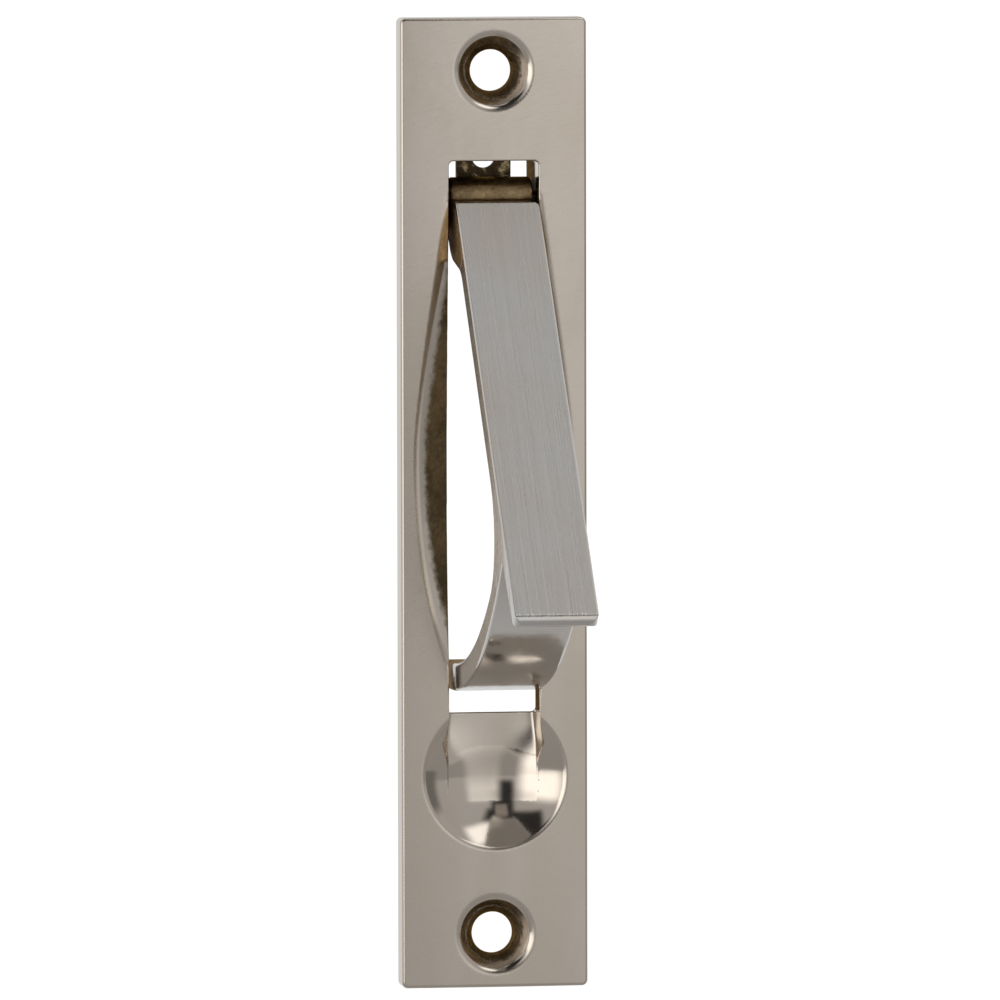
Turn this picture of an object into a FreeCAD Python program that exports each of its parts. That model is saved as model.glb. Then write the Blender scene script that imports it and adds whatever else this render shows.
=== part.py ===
"""Flush edge pull for a sliding door: a cast face plate with a pivoting lever.

Frame, in millimetres: the origin is the centre of the plate's back face, +X is to the right,
+Y goes into the door and +Z is up. The plate lies between Y = -plate_thick and Y = 0.
The lever is stored swung open by open_angle, and closes flush with the plate's front face.
"""
import FreeCAD
import Part
import Sketcher
import math
import os

V = FreeCAD.Vector
doc = FreeCAD.newDocument("EdgePull")

# ---------------------------------------------------------------- driving dimensions

DIMENSIONS = [
    ("plate_width", 19.05, "face plate, across"),
    ("plate_height", 98.4, "face plate, along"),
    ("plate_thick", 3.2, "face plate, front to back"),
    ("corner_round", 0.6, "radius of the plate's four corners"),
    ("front_round", 0.3, "rounding of the plate's front edges"),
    ("slot_half", 4.6, "half of the lever slot's width"),
    ("slot_top", 34.7, "height of the slot's upper end"),
    ("slot_foot", 21.4, "depth of the slot's lower end below the centre"),
    ("slot_round", 0.5, "radius of the slot's corners"),
    ("hole_pitch", 87.6, "between the two mounting holes"),
    ("hole_dia", 4.2, "mounting hole"),
    ("sink_dia", 7.6, "countersink mouth"),
    ("sink_angle", 82.0, "countersink"),
    ("dish_rim", 7.4, "radius of the finger dish at the front face"),
    ("dish_deep", 2.9, "depth of the finger dish"),
    ("dish_drop", 27.7, "dish centre below the plate's centre"),
    ("dish_pad_radius", 6.0, "pad behind the dish"),
    ("dish_pad_thick", 1.2, "pad behind the dish"),
    ("dish_pad_shift", 0.4, "centre of that pad below the dish centre"),
    ("scoop_half", 8.0, "half width of the side scoops, slot included"),
    ("scoop_long", 28.0, "half length of the side scoops"),
    ("scoop_deep", 2.3, "depth of the scoops on the centre line"),
    ("scoop_rise", 3.9, "height of the scoops' middle"),
    ("scoop_turn", 40.0, "angle that the scoop cutter turns through, which is more than it cuts"),
    ("boss_half", 7.0, "half width of the hinge boss"),
    ("boss_low", 25.4, "lower end of the hinge boss"),
    ("boss_high", 41.0, "upper end of the hinge boss"),
    ("boss_deep", 5.2, "hinge boss behind the plate"),
    ("boss_round", 1.0, "radius of the hinge boss's corners"),
    ("pivot_deep", 1.2, "pivot behind the plate's back face"),
    ("pivot_high", 30.3, "height of the pivot"),
    ("pin_radius", 1.15, "pivot pin"),
    ("pin_play", 0.05, "clearance round the pin in the lever"),
    ("pin_chamfer", 0.2, "ends of the pivot pin"),
    ("lever_width", 8.5, "lever"),
    ("lever_shift", 0.15, "the lever sits this far right of centre, within its side play"),
    ("open_angle", 44.0, "the lever's swing from closed to fully open"),
    ("hub_radius", 2.6, "lever hub"),
    ("nose_front", 2.1, "flat in front of the hub, from the pivot, lever open"),
    ("bar_thick", 2.7, "lever bar"),
    ("bar_start", 3.8, "upper end of the bar's front face below the pivot, lever closed"),
    ("bar_end", 58.6, "tip below the pivot, lever closed"),
    ("tip_radius", 0.9, "half of the tip's thickness"),
    ("tip_corner", 1.0, "plan radius of the tip's corners"),
    ("hook_inner", 46.7, "inner radius of the hook about the pivot"),
    ("hook_outer", 49.45, "outer radius of the hook about the pivot"),
    ("hook_sweep", 48.0, "angle of the hook's end behind the plate, lever closed"),
    ("hook_blend", 8.0, "fillet between the bar's back and the hook"),
    ("under_blend", 0.8, "fillet under the hook"),
    ("taper_gap", 1.2, "from that fillet down to the tip's taper"),
    ("lobe_back", 2.3, "corner of the lobe below the hub, behind the pivot"),
    ("lobe_drop", 5.6, "corner of the lobe below the pivot"),
    ("web_drop", 10.8, "foot of the lobe on the bar's back, below the pivot"),
    ("seat_deep", 2.95, "depth of the tip's seat at the slot"),
    ("seat_rise", 1.9, "depth of the tip's seat at the dish centre"),
    ("spring_width", 5.7, "leaf spring"),
    ("spring_thick", 0.5, "leaf spring"),
    ("spring_gap", 0.1, "between the leaf spring and the hub"),
    ("spring_play", 0.05, "between the leaf spring and each side of its channel"),
    ("spring_high", 40.6, "upper end of the leaf spring"),
    ("spring_low", 27.6, "lower end of the leaf spring"),
    ("spring_hole", 1.2, "radius of the open hole in the leaf spring"),
    ("spring_hole_high", 34.9, "height of that hole"),
    ("screw_high", 38.2, "height of the spring's screw"),
    ("screw_radius", 1.2, "spring screw, shank"),
    ("screw_deep", 3.6, "length of the shank in the boss"),
    ("screw_head_radius", 2.1, "spring screw, head"),
    ("screw_head_tall", 1.3, "spring screw, head"),
    ("screw_crown", 0.91, "rounding of the spring screw's head"),
    ("screw_slot_wide", 0.6, "driver slot"),
    ("screw_slot_deep", 0.6, "driver slot"),
    ("overrun", 1.0, "how far a cutter runs past what it cuts"),
]

sheet = doc.addObject("Spreadsheet::Sheet", "Dims")
for row, (alias, value, meaning) in enumerate(DIMENSIONS, start=1):
    sheet.set(f"A{row}", meaning)
    sheet.set(f"B{row}", str(value))
    sheet.setAlias(f"B{row}", alias)
doc.recompute()


def size(alias):
    """The value of one cell, in the sheet's own units."""
    return float(sheet.get(alias))


# ---------------------------------------------------------------- helpers

ORIGIN = (-1, 1)
HEIGHT_AXIS = -2


def value_of(text):
    """The number that an expression over the sheet gives."""
    result = sheet.evalExpression(text)
    return float(getattr(result, "Value", result))


def new_body(label):
    body = doc.addObject("PartDesign::Body", label)
    body.Label = label
    return body


def new_sketch(body, name, role, offset=None):
    """A sketch on one of the body's origin planes, moved along the plane's normal by an expression."""
    sketch = body.newObject("Sketcher::SketchObject", name)
    plane = next(f for f in body.Origin.OriginFeatures if f.Role == role)
    sketch.AttachmentSupport = [(plane, "")]
    sketch.MapMode = "FlatFace"
    if offset:
        sketch.setExpression("AttachmentOffset.Base.z", offset)
    return sketch


def bind(sketch, kind, *rest_and_text):
    """A dimension of a sketch, bound to an expression: bind(sketch, kind, references..., expression)."""
    *references, text = rest_and_text
    index = sketch.addConstraint(Sketcher.Constraint(kind, *references, value_of(text)))
    sketch.setExpression(f"Constraints[{index}]", text)


def rectangle(sketch, left, right, low, high):
    """Four lines, with each side's distance from the origin bound to an expression."""
    x0, x1, y0, y1 = (value_of(text) for text in (left, right, low, high))
    corners = [V(x0, y0), V(x1, y0), V(x1, y1), V(x0, y1)]
    first = sketch.GeometryCount
    for i in range(4):
        sketch.addGeometry(Part.LineSegment(corners[i], corners[(i + 1) % 4]))
    for i in range(4):
        line, after = first + i, first + (i + 1) % 4
        sketch.addConstraint(Sketcher.Constraint("Coincident", line, 2, after, 1))
        sketch.addConstraint(Sketcher.Constraint("Vertical" if i % 2 else "Horizontal", line))
    bind(sketch, "DistanceX", *ORIGIN, first, 1, left)
    bind(sketch, "DistanceX", *ORIGIN, first + 2, 1, right)
    bind(sketch, "DistanceY", *ORIGIN, first, 1, low)
    bind(sketch, "DistanceY", *ORIGIN, first + 2, 1, high)


def circle(sketch, height, radius, across=None):
    """A circle on the sketch's vertical axis, or beside it, with its size and place bound."""
    x = value_of(across) if across else 0
    line = sketch.addGeometry(Part.Circle(V(x, value_of(height)), V(0, 0, 1), value_of(radius)))
    if across:
        bind(sketch, "DistanceX", *ORIGIN, line, 3, across)
    else:
        sketch.addConstraint(Sketcher.Constraint("PointOnObject", line, 3, HEIGHT_AXIS))
    bind(sketch, "DistanceY", *ORIGIN, line, 3, height)
    bind(sketch, "Radius", line, radius)
    return line


def outline(sketch, pieces):
    """A closed outline of lines and arcs, given in order, with each joint tied."""
    for piece in pieces:
        sketch.addGeometry(piece)
    for i in range(len(pieces)):
        after = (i + 1) % len(pieces)
        joint = min(
            ((a, b) for a in (1, 2) for b in (1, 2)),
            key=lambda ends: sketch.getPoint(i, ends[0]).distanceToPoint(sketch.getPoint(after, ends[1])),
        )
        sketch.addConstraint(Sketcher.Constraint("Coincident", i, joint[0], after, joint[1]))


def feature(body, kind, name, sketch, length=None, angle=None, cuts=False, **settings):
    """A feature made from a sketch. Its length and angle are expressions. A cut has to remove material."""
    before = body.Shape.Volume if cuts else 0
    made = body.newObject(f"PartDesign::{kind}", name)
    made.Profile = sketch
    for key, value in settings.items():
        setattr(made, key, value)
    if length:
        made.setExpression("Length", length)
    if angle:
        made.setExpression("Angle", angle)
    doc.recompute()
    if cuts and not body.Shape.Volume < before - 1e-3:
        raise RuntimeError(f"{name} cuts nothing")
    return made


def round_edges(body, name, radius, wanted):
    """A fillet on those edges of the body's tip that the test picks."""
    tip = body.Tip
    picked = [f"Edge{i}" for i, edge in enumerate(tip.Shape.Edges, start=1) if wanted(edge)]
    fillet = body.newObject("PartDesign::Fillet", name)
    fillet.Base = (tip, picked)
    fillet.setExpression("Radius", radius)
    doc.recompute()
    return fillet


def along(edge, axis):
    """True if a straight edge runs along an axis, 0 for X, 1 for Y and 2 for Z."""
    if not isinstance(edge.Curve, (Part.Line, Part.LineSegment)):
        return False
    return abs(abs(edge.tangentAt(edge.FirstParameter)[axis]) - 1) < 1e-6


def middle(edge):
    return edge.valueAt((edge.FirstParameter + edge.LastParameter) / 2)


def turned(y, z, angle):
    """A point of the lever's profile in the open position, seen in the closed one."""
    c, s = math.cos(math.radians(angle)), math.sin(math.radians(angle))
    return V(y * c - z * s, y * s + z * c)


def polar(radius, degrees):
    return V(radius * math.cos(math.radians(degrees)), radius * math.sin(math.radians(degrees)))


def arc(centre, radius, start, end):
    """An arc through the angle halfway between start and end, in degrees."""
    points = [centre + polar(radius, a) for a in (start, (start + end) / 2, end)]
    return Part.Arc(*points)


# ---------------------------------------------------------------- face plate

CLOSE = 1e-4  # how near an edge is to a plane that it lies in
LEAST_CUT = 1.0  # a mounting hole takes out more than this, in cubic mm


def make_face_plate():
    """The casting: plate, hinge boss, dish pad, slot, scoops, dish, tip seat and holes."""
    body = new_body("face_plate")
    plate = new_sketch(body, "plate_outline", "XZ_Plane")
    rectangle(
        plate, "-Dims.plate_width / 2", "Dims.plate_width / 2", "-Dims.plate_height / 2", "Dims.plate_height / 2"
    )
    feature(body, "Pad", "plate", plate, length="Dims.plate_thick")
    round_edges(body, "plate_corners", "Dims.corner_round", lambda e: along(e, 1))
    front_y = -size("plate_thick")
    round_edges(
        body, "front_edges", "Dims.front_round", lambda e: e.BoundBox.YMax < front_y + CLOSE
    )

    boss = new_sketch(body, "boss_outline", "XZ_Plane")
    rectangle(boss, "-Dims.boss_half", "Dims.boss_half", "Dims.boss_low", "Dims.boss_high")
    feature(body, "Pad", "hinge_boss", boss, length="Dims.boss_deep", Reversed=True)
    round_edges(
        body, "boss_corners", "Dims.boss_round", lambda e: along(e, 1) and middle(e).y > size("boss_deep") / 4
    )
    pad = new_sketch(body, "dish_pad_outline", "XZ_Plane")
    circle(pad, "-Dims.dish_drop - Dims.dish_pad_shift", "Dims.dish_pad_radius")
    feature(body, "Pad", "dish_pad", pad, length="Dims.dish_pad_thick", Reversed=True)

    slot = new_sketch(body, "slot_outline", "XZ_Plane")
    rectangle(slot, "-Dims.slot_half", "Dims.slot_half", "-Dims.slot_foot", "Dims.slot_top")
    feature(body, "Pocket", "lever_slot", slot, cuts=True, Type=1, Midplane=True)
    round_edges(
        body,
        "slot_corners",
        "Dims.slot_round",
        lambda e: along(e, 1) and abs(abs(middle(e).x) - size("slot_half")) < CLOSE,
    )
    make_scoops(body)
    make_dish(body)
    make_tip_seat(body)

    channel = new_sketch(body, "spring_channel_outline", "XZ_Plane", "-Dims.boss_deep")
    rectangle(
        channel,
        "-Dims.spring_width / 2",
        "Dims.spring_width / 2",
        "Dims.slot_top - Dims.overrun",
        "Dims.boss_high + Dims.overrun",
    )
    feature(
        body,
        "Pocket",
        "spring_channel",
        channel,
        cuts=True,
        Reversed=True,
        length="Dims.boss_deep - Dims.pivot_deep - Dims.hub_radius - Dims.spring_gap",
    )
    tapped = new_sketch(
        body, "spring_screw_hole_outline", "XZ_Plane", "-Dims.pivot_deep - Dims.hub_radius - Dims.spring_gap"
    )
    circle(tapped, "Dims.screw_high", "Dims.screw_radius")
    feature(
        body, "Pocket", "spring_screw_hole", tapped, cuts=True, Reversed=True, length="Dims.screw_deep"
    )
    bore = new_sketch(body, "pin_hole_outline", "YZ_Plane")
    circle(bore, "Dims.pivot_high", "Dims.pin_radius", across="Dims.pivot_deep")
    feature(body, "Pocket", "pin_hole", bore, cuts=True, Midplane=True, length="2 * Dims.boss_half + Dims.overrun")
    make_mounting_holes(body)
    return body


def make_scoops(body):
    """A finger scoop on each side of the slot: one shallow ring-shaped cut across both of its edges.

    The cutter's section is a circle that crosses the front face at scoop_half and is scoop_deep deep,
    turned about an axis across the plate, so that it leaves the front face at scoop_long up and down.
    """
    section = "((Dims.scoop_half ^ 2 + Dims.scoop_deep ^ 2) / (2 * Dims.scoop_deep))"
    sweep = "((Dims.scoop_long ^ 2 + Dims.scoop_deep ^ 2) / (2 * Dims.scoop_deep))"
    floor = "(Dims.scoop_deep - Dims.plate_thick)"
    sketch = new_sketch(body, "scoop_section", "XY_Plane", "Dims.scoop_rise")
    circle(sketch, f"{floor} - {section}", section)
    axis_y = value_of(f"{floor} - {sweep}")
    half = size("scoop_half")
    axis = sketch.addGeometry(Part.LineSegment(V(-half, axis_y), V(half, axis_y)), True)
    sketch.addConstraint(Sketcher.Constraint("Horizontal", axis))
    bind(sketch, "DistanceY", *ORIGIN, axis, 1, f"{floor} - {sweep}")
    feature(
        body,
        "Groove",
        "side_scoops",
        sketch,
        cuts=True,
        Midplane=True,
        angle="Dims.scoop_turn",
        ReferenceAxis=(sketch, ["Axis0"]),
    )


def make_dish(body):
    """The finger dish: part of a ball, dish_deep deep and dish_rim in radius at the front face."""
    ball = "((Dims.dish_rim ^ 2 + Dims.dish_deep ^ 2) / (2 * Dims.dish_deep))"
    centre = f"(Dims.dish_deep - Dims.plate_thick - {ball})"
    sketch = new_sketch(body, "dish_section", "XY_Plane", "-Dims.dish_drop")
    middle_y, radius = value_of(centre), value_of(ball)
    half = sketch.addGeometry(arc(V(0, middle_y), radius, -90, 90))
    axis = sketch.addGeometry(Part.LineSegment(V(0, middle_y - radius), V(0, middle_y + radius)))
    sketch.addConstraint(Sketcher.Constraint("Coincident", half, 1, axis, 1))
    sketch.addConstraint(Sketcher.Constraint("Coincident", half, 2, axis, 2))
    sketch.addConstraint(Sketcher.Constraint("PointOnObject", half, 3, HEIGHT_AXIS))
    sketch.addConstraint(Sketcher.Constraint("PointOnObject", half, 1, HEIGHT_AXIS))
    sketch.addConstraint(Sketcher.Constraint("PointOnObject", half, 2, HEIGHT_AXIS))
    bind(sketch, "Radius", half, ball)
    bind(sketch, "DistanceY", *ORIGIN, half, 3, centre)
    feature(body, "Groove", "finger_dish", sketch, cuts=True, Angle=360, ReferenceAxis=(sketch, ["V_Axis"]))


def make_tip_seat(body):
    """The closed lever's tip lies in the dish's upper half, on a floor that rises away from the slot."""
    front = value_of("-Dims.plate_thick")
    top, foot = value_of("-Dims.slot_foot"), value_of("-Dims.dish_drop")
    deep, shallow = value_of("Dims.seat_deep") + front, value_of("Dims.seat_rise") + front
    ahead, above = front - size("overrun"), top + size("overrun")
    points = [V(ahead, above), V(deep, above), V(deep, top), V(shallow, foot), V(ahead, foot)]
    sketch = new_sketch(body, "tip_seat_section", "YZ_Plane")
    outline(sketch, [Part.LineSegment(points[i], points[(i + 1) % 5]) for i in range(5)])
    bind(sketch, "DistanceX", *ORIGIN, 1, 2, "Dims.seat_deep - Dims.plate_thick")
    bind(sketch, "DistanceY", *ORIGIN, 1, 2, "-Dims.slot_foot")
    bind(sketch, "DistanceX", *ORIGIN, 2, 2, "Dims.seat_rise - Dims.plate_thick")
    bind(sketch, "DistanceY", *ORIGIN, 2, 2, "-Dims.dish_drop")
    feature(body, "Pocket", "tip_seat", sketch, cuts=True, Midplane=True, length="2 * Dims.slot_half")


def make_mounting_holes(body):
    """Two countersunk holes on the plate's centre line."""
    sketch = new_sketch(body, "mounting_hole_centres", "XZ_Plane", "Dims.plate_thick")
    for side in ("", "-"):
        circle(sketch, f"{side}Dims.hole_pitch / 2", "Dims.hole_dia / 2")
    doc.recompute()
    before = body.Shape.Volume
    hole = body.newObject("PartDesign::Hole", "mounting_holes")
    hole.Profile = sketch
    doc.recompute()
    hole.Threaded = False
    hole.DepthType = "ThroughAll"
    hole.HoleCutType = "Countersink"
    hole.HoleCutCustomValues = True
    hole.setExpression("Diameter", "Dims.hole_dia")
    hole.setExpression("HoleCutDiameter", "Dims.sink_dia")
    hole.setExpression("HoleCutCountersinkAngle", "Dims.sink_angle")
    doc.recompute()
    if not body.Shape.Volume < before - LEAST_CUT:
        raise RuntimeError("the mounting holes cut nothing")


# ---------------------------------------------------------------- lever


def lever_profile():
    """The lever's side view with the lever closed: x is the depth behind the pivot, y the height above it."""
    front = -value_of("Dims.plate_thick + Dims.pivot_deep")
    back = front + size("bar_thick")
    hub, swing = size("hub_radius"), size("open_angle")
    inner, outer, tip = size("hook_inner"), size("hook_outer"), size("tip_radius")

    bar_top = V(front, -size("bar_start"))
    shelf_y = -front * math.sin(math.radians(swing)) - size("bar_start") * math.cos(math.radians(swing))
    nose = size("nose_front")
    shelf_end = turned(-nose, shelf_y, swing)
    nose_angle = 180 - math.degrees(math.asin(math.sqrt(hub**2 - nose**2) / hub)) + swing

    lobe = V(size("lobe_back"), -size("lobe_drop"))
    reach = math.hypot(lobe.x, lobe.y)
    leave_angle = math.degrees(math.atan2(lobe.y, lobe.x) + math.acos(hub / reach))
    web = V(back, -size("web_drop"))

    blend = size("hook_blend")
    blend_centre = V(back + blend, -math.sqrt((inner - blend) ** 2 - (back + blend) ** 2))
    blend_end = math.degrees(math.atan2(blend_centre.y, blend_centre.x))
    hook_end = size("hook_sweep") - 90

    under = size("under_blend")
    under_centre = V(back + under, -math.sqrt((outer + under) ** 2 - (back + under) ** 2))
    under_start = math.degrees(math.atan2(under_centre.y, under_centre.x))
    taper_start = V(back, under_centre.y - size("taper_gap"))
    tip_centre = V(front + tip, tip - size("bar_end"))
    return [
        Part.LineSegment(bar_top, shelf_end),
        Part.LineSegment(shelf_end, polar(hub, nose_angle)),
        arc(V(), hub, nose_angle, leave_angle),
        Part.LineSegment(polar(hub, leave_angle), lobe),
        Part.LineSegment(lobe, web),
        Part.LineSegment(web, V(back, blend_centre.y)),
        arc(blend_centre, blend, 180, 360 + blend_end),
        arc(V(), inner, blend_end, hook_end),
        Part.LineSegment(polar(inner, hook_end), polar(outer, hook_end)),
        arc(V(), outer, hook_end, under_start),
        arc(under_centre, under, under_start + 180, 180),
        Part.LineSegment(V(back, under_centre.y), taper_start),
        Part.LineSegment(taper_start, tip_centre + V(tip, 0)),
        arc(tip_centre, tip, 0, -180),
        Part.LineSegment(tip_centre - V(tip, 0), bar_top),
    ]


def make_pull_lever():
    """Hub, flat bar and curved hook in one casting, drawn closed about the pivot and then swung open."""
    body = new_body("pull_lever")
    sketch = new_sketch(body, "lever_side", "YZ_Plane")
    outline(sketch, lever_profile())
    for line, text in ((2, "Dims.hub_radius"), (7, "Dims.hook_inner"), (9, "Dims.hook_outer")):
        sketch.addConstraint(Sketcher.Constraint("Coincident", line, 3, *ORIGIN))
        bind(sketch, "Radius", line, text)
    bind(sketch, "Radius", 6, "Dims.hook_blend")
    bind(sketch, "Radius", 13, "Dims.tip_radius")
    feature(body, "Pad", "lever_casting", sketch, length="Dims.lever_width", Midplane=True)

    bore = new_sketch(body, "bore_outline", "YZ_Plane")
    circle(bore, "0", "Dims.pin_radius + Dims.pin_play")
    feature(body, "Pocket", "pin_bore", bore, cuts=True, Type=1, Midplane=True)
    make_tip_corners(body)
    body.setExpression(
        "Placement",
        "placement(vector(Dims.lever_shift; Dims.pivot_deep; Dims.pivot_high);"
        " rotation(vector(1; 0; 0); -Dims.open_angle))",
    )
    return body


def make_tip_corners(body):
    """Rounds the tip's two corners in plan, from the front."""
    half, radius = value_of("Dims.lever_width / 2"), size("tip_corner")
    end = -size("bar_end")
    for side in (-1, 1):
        sketch = new_sketch(body, f"tip_corner_{'left' if side < 0 else 'right'}", "XZ_Plane")
        centre = V(side * (half - radius), end + radius)
        first, last = V(side * half, centre.y), V(centre.x, end)
        between = centre + polar(radius, -45 if side > 0 else -135)
        beyond = V(side * (half + size("overrun")), end - size("overrun"))
        outline(
            sketch,
            [
                Part.Arc(first, between, last),
                Part.LineSegment(last, V(last.x, beyond.y)),
                Part.LineSegment(V(last.x, beyond.y), beyond),
                Part.LineSegment(beyond, V(beyond.x, first.y)),
                Part.LineSegment(V(beyond.x, first.y), first),
            ],
        )
        bind(sketch, "Radius", 0, "Dims.tip_corner")
        feature(body, "Pocket", sketch.Name + "_cut", sketch, cuts=True, Type=1, Midplane=True)


# ---------------------------------------------------------------- pin, spring and screw


def make_pivot_pin():
    """Pressed into both cheeks of the hinge boss, flush with their outer sides."""
    body = new_body("pivot_pin")
    sketch = new_sketch(body, "pin_section", "YZ_Plane")
    circle(sketch, "0", "Dims.pin_radius")
    feature(body, "Pad", "pin", sketch, length="2 * Dims.boss_half", Midplane=True)
    pad = body.Tip
    rims = [f"Edge{i}" for i, edge in enumerate(pad.Shape.Edges, start=1) if edge.isClosed()]
    chamfer = body.newObject("PartDesign::Chamfer", "pin_ends")
    chamfer.Base = (pad, rims)
    chamfer.setExpression("Size", "Dims.pin_chamfer")
    body.setExpression("Placement.Base.y", "Dims.pivot_deep")
    body.setExpression("Placement.Base.z", "Dims.pivot_high")
    return body


SPRING_FRONT = "Dims.pivot_deep + Dims.hub_radius + Dims.spring_gap"


def make_leaf_spring():
    """A flat strip that bears on the back of the hub and holds the lever where it is put."""
    body = new_body("leaf_spring")
    strip = new_sketch(body, "strip_outline", "XZ_Plane")
    half = "Dims.spring_width / 2 - Dims.spring_play"
    rectangle(strip, f"-({half})", half, "Dims.spring_low", "Dims.spring_high")
    circle(strip, "Dims.screw_high", "Dims.screw_radius")
    circle(strip, "Dims.spring_hole_high", "Dims.spring_hole")
    feature(body, "Pad", "strip", strip, length="Dims.spring_thick", Reversed=True)
    body.setExpression("Placement.Base.y", SPRING_FRONT)
    return body


def make_spring_screw():
    """A slotted round-head screw through the spring, into the hinge boss from behind."""
    body = new_body("spring_screw")
    shank = new_sketch(body, "shank_section", "XZ_Plane")
    circle(shank, "0", "Dims.screw_radius")
    feature(body, "Pad", "shank", shank, length="Dims.screw_deep + Dims.spring_thick")
    head = new_sketch(body, "head_section", "XZ_Plane")
    circle(head, "0", "Dims.screw_head_radius")
    feature(body, "Pad", "head", head, length="Dims.screw_head_tall", Reversed=True)
    crown = value_of("Dims.screw_head_tall")
    round_edges(
        body, "crown", "Dims.screw_crown", lambda e: e.isClosed() and middle(e).y > crown - CLOSE
    )
    slot = new_sketch(body, "driver_slot_outline", "XZ_Plane", "-Dims.screw_head_tall")
    reach = "Dims.screw_head_radius + Dims.overrun"
    wide = "Dims.screw_slot_wide / 2"
    rectangle(slot, f"-({reach})", reach, f"-{wide}", wide)
    feature(body, "Pocket", "driver_slot", slot, cuts=True, Reversed=True, length="Dims.screw_slot_deep")
    body.setExpression("Placement.Base.y", f"{SPRING_FRONT} + Dims.spring_thick")
    body.setExpression("Placement.Base.z", "Dims.screw_high")
    return body


# ---------------------------------------------------------------- check and write

bodies = [
    make_face_plate(),
    make_pull_lever(),
    make_pivot_pin(),
    make_leaf_spring(),
    make_spring_screw(),
]
doc.recompute()
for item in doc.Objects:
    if "Invalid" in item.State or "Error" in item.State:
        raise RuntimeError(f"{item.Label} failed: {item.State}")
os.makedirs("parts", exist_ok=True)
for body in bodies:
    if body.Shape.isNull() or not body.Shape.isValid():
        raise RuntimeError(f"{body.Label} has no valid shape")
    if len(body.Shape.Solids) != 1:
        raise RuntimeError(f"{body.Label} is not one solid")
    body.Shape.exportStep(f"parts/{body.Label}.step")
    box = body.Shape.BoundBox
    print(
        f"{body.Label}: {body.Shape.Volume:.1f} mm3, "
        f"X {box.XMin:.2f} {box.XMax:.2f}, Y {box.YMin:.2f} {box.YMax:.2f}, Z {box.ZMin:.2f} {box.ZMax:.2f}"
    )
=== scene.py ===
"""Looks for a flush sliding-door edge pull: nickel-plated brass, with its lever swung open.

The face plate and the lever are remade here as smooth meshes, from the same dimensions as the CAD, with the
soft lips and blends that casting and polishing give them. Each is a signed distance field in millimetres,
turned into quads on a grid. The pin, spring and screw stay the CAD's own.
"""
import bpy
import math
import numpy as np
from mathutils import Matrix, Quaternion, Vector


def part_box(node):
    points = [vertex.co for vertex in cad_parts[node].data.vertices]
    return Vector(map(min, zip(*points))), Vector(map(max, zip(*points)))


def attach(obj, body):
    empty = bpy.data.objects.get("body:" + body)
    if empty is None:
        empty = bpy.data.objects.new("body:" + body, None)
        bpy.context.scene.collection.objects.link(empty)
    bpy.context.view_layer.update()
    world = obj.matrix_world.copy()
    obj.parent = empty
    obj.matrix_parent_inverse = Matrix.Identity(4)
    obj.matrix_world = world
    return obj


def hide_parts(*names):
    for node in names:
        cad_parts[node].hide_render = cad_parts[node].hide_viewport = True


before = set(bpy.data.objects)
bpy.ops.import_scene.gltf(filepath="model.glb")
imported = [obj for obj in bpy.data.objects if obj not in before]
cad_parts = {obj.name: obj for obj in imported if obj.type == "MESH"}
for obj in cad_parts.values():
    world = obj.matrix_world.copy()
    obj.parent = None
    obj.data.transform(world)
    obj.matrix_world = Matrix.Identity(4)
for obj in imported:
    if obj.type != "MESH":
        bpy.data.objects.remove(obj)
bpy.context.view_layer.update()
MM = 0.001

# ---------------------------------------------------------------- plate dimensions, in millimetres

plate_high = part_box("face_plate")[1] / MM
HALF_WIDTH, HALF_HEIGHT = plate_high.x, plate_high.z
FRONT, BOSS_BACK = -3.2, plate_high.y
CORNER_ROUND, FRONT_ROUND, BACK_ROUND = 0.6, 0.32, 0.12
CROWN_RADIUS, CROWN_SIDE, CROWN_REACH, CROWN_FADE = 200, 0.06, 30, 25

SLOT_HALF, SLOT_TOP, SLOT_FOOT, SLOT_ROUND = 4.6, 34.7, -21.4, 0.5
HOLE_HEIGHT, HOLE_RADIUS, SINK_RADIUS, SINK_ANGLE = 43.8, 2.1, 3.8, math.radians(41)

DISH_RIM, DISH_DEEP, DISH_HEIGHT = 7.4, 2.9, -27.7
DISH_BALL = (DISH_RIM**2 + DISH_DEEP**2) / (2 * DISH_DEEP)
PAD_RADIUS, PAD_BACK, PAD_HEIGHT = 6.0, 1.2, -28.1
SEAT_DEEP, SEAT_HALF = 2.9, 4.55
SEAT_SLOPE, SEAT_STEEPER, SEAT_CORNER, SEAT_RUNOUT = 1.8, 22, 0.1, 4
SEAT_BLEND, SEAT_BLEND_MORE, NO_SEAT = 0.15, 0.25, -1.0

SCOOP_HALF, SCOOP_TOP, SCOOP_MIDDLE, SCOOP_END = 8.0, 27.5, 5.0, -16.2
SCOOP_SLOPE, SCOOP_CURVE, SCOOP_PEAK, SCOOP_FULLNESS = 0.62, 0.035, 0.16, 2.2
SCOOP_CLOSED, SCOOP_GONE, SCOOP_RUNOUT = 1.16, 1.4, 12

BOSS_HALF, BOSS_LOW, BOSS_HIGH, BOSS_ROUND = 7.0, 25.4, 41.0, 1.0
PIVOT_DEEP, PIVOT_HEIGHT = 1.2, 30.3
PIN_RADIUS, PIN_PLAY = 1.15, 0.05
SPRING_HALF, SPRING_FRONT, SPRING_ABOVE = 2.85, 3.9, SLOT_TOP - 1

BOSS_EDGE, BOSS_FILLET, PAD_EDGE, PAD_FILLET, BURIED_EDGE = 0.4, 0.5, 0.5, 0.4, 0.1
SCOOP_LIP, DISH_LIP, SLOT_LIP, HOLE_LIP, CHANNEL_LIP, PIN_LIP = 0.35, 0.22, 0.14, 0.35, 0.1, 0.05
HOLE_BLEND = 0.25

# ---------------------------------------------------------------- lever dimensions, closed, about its pivot

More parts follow.
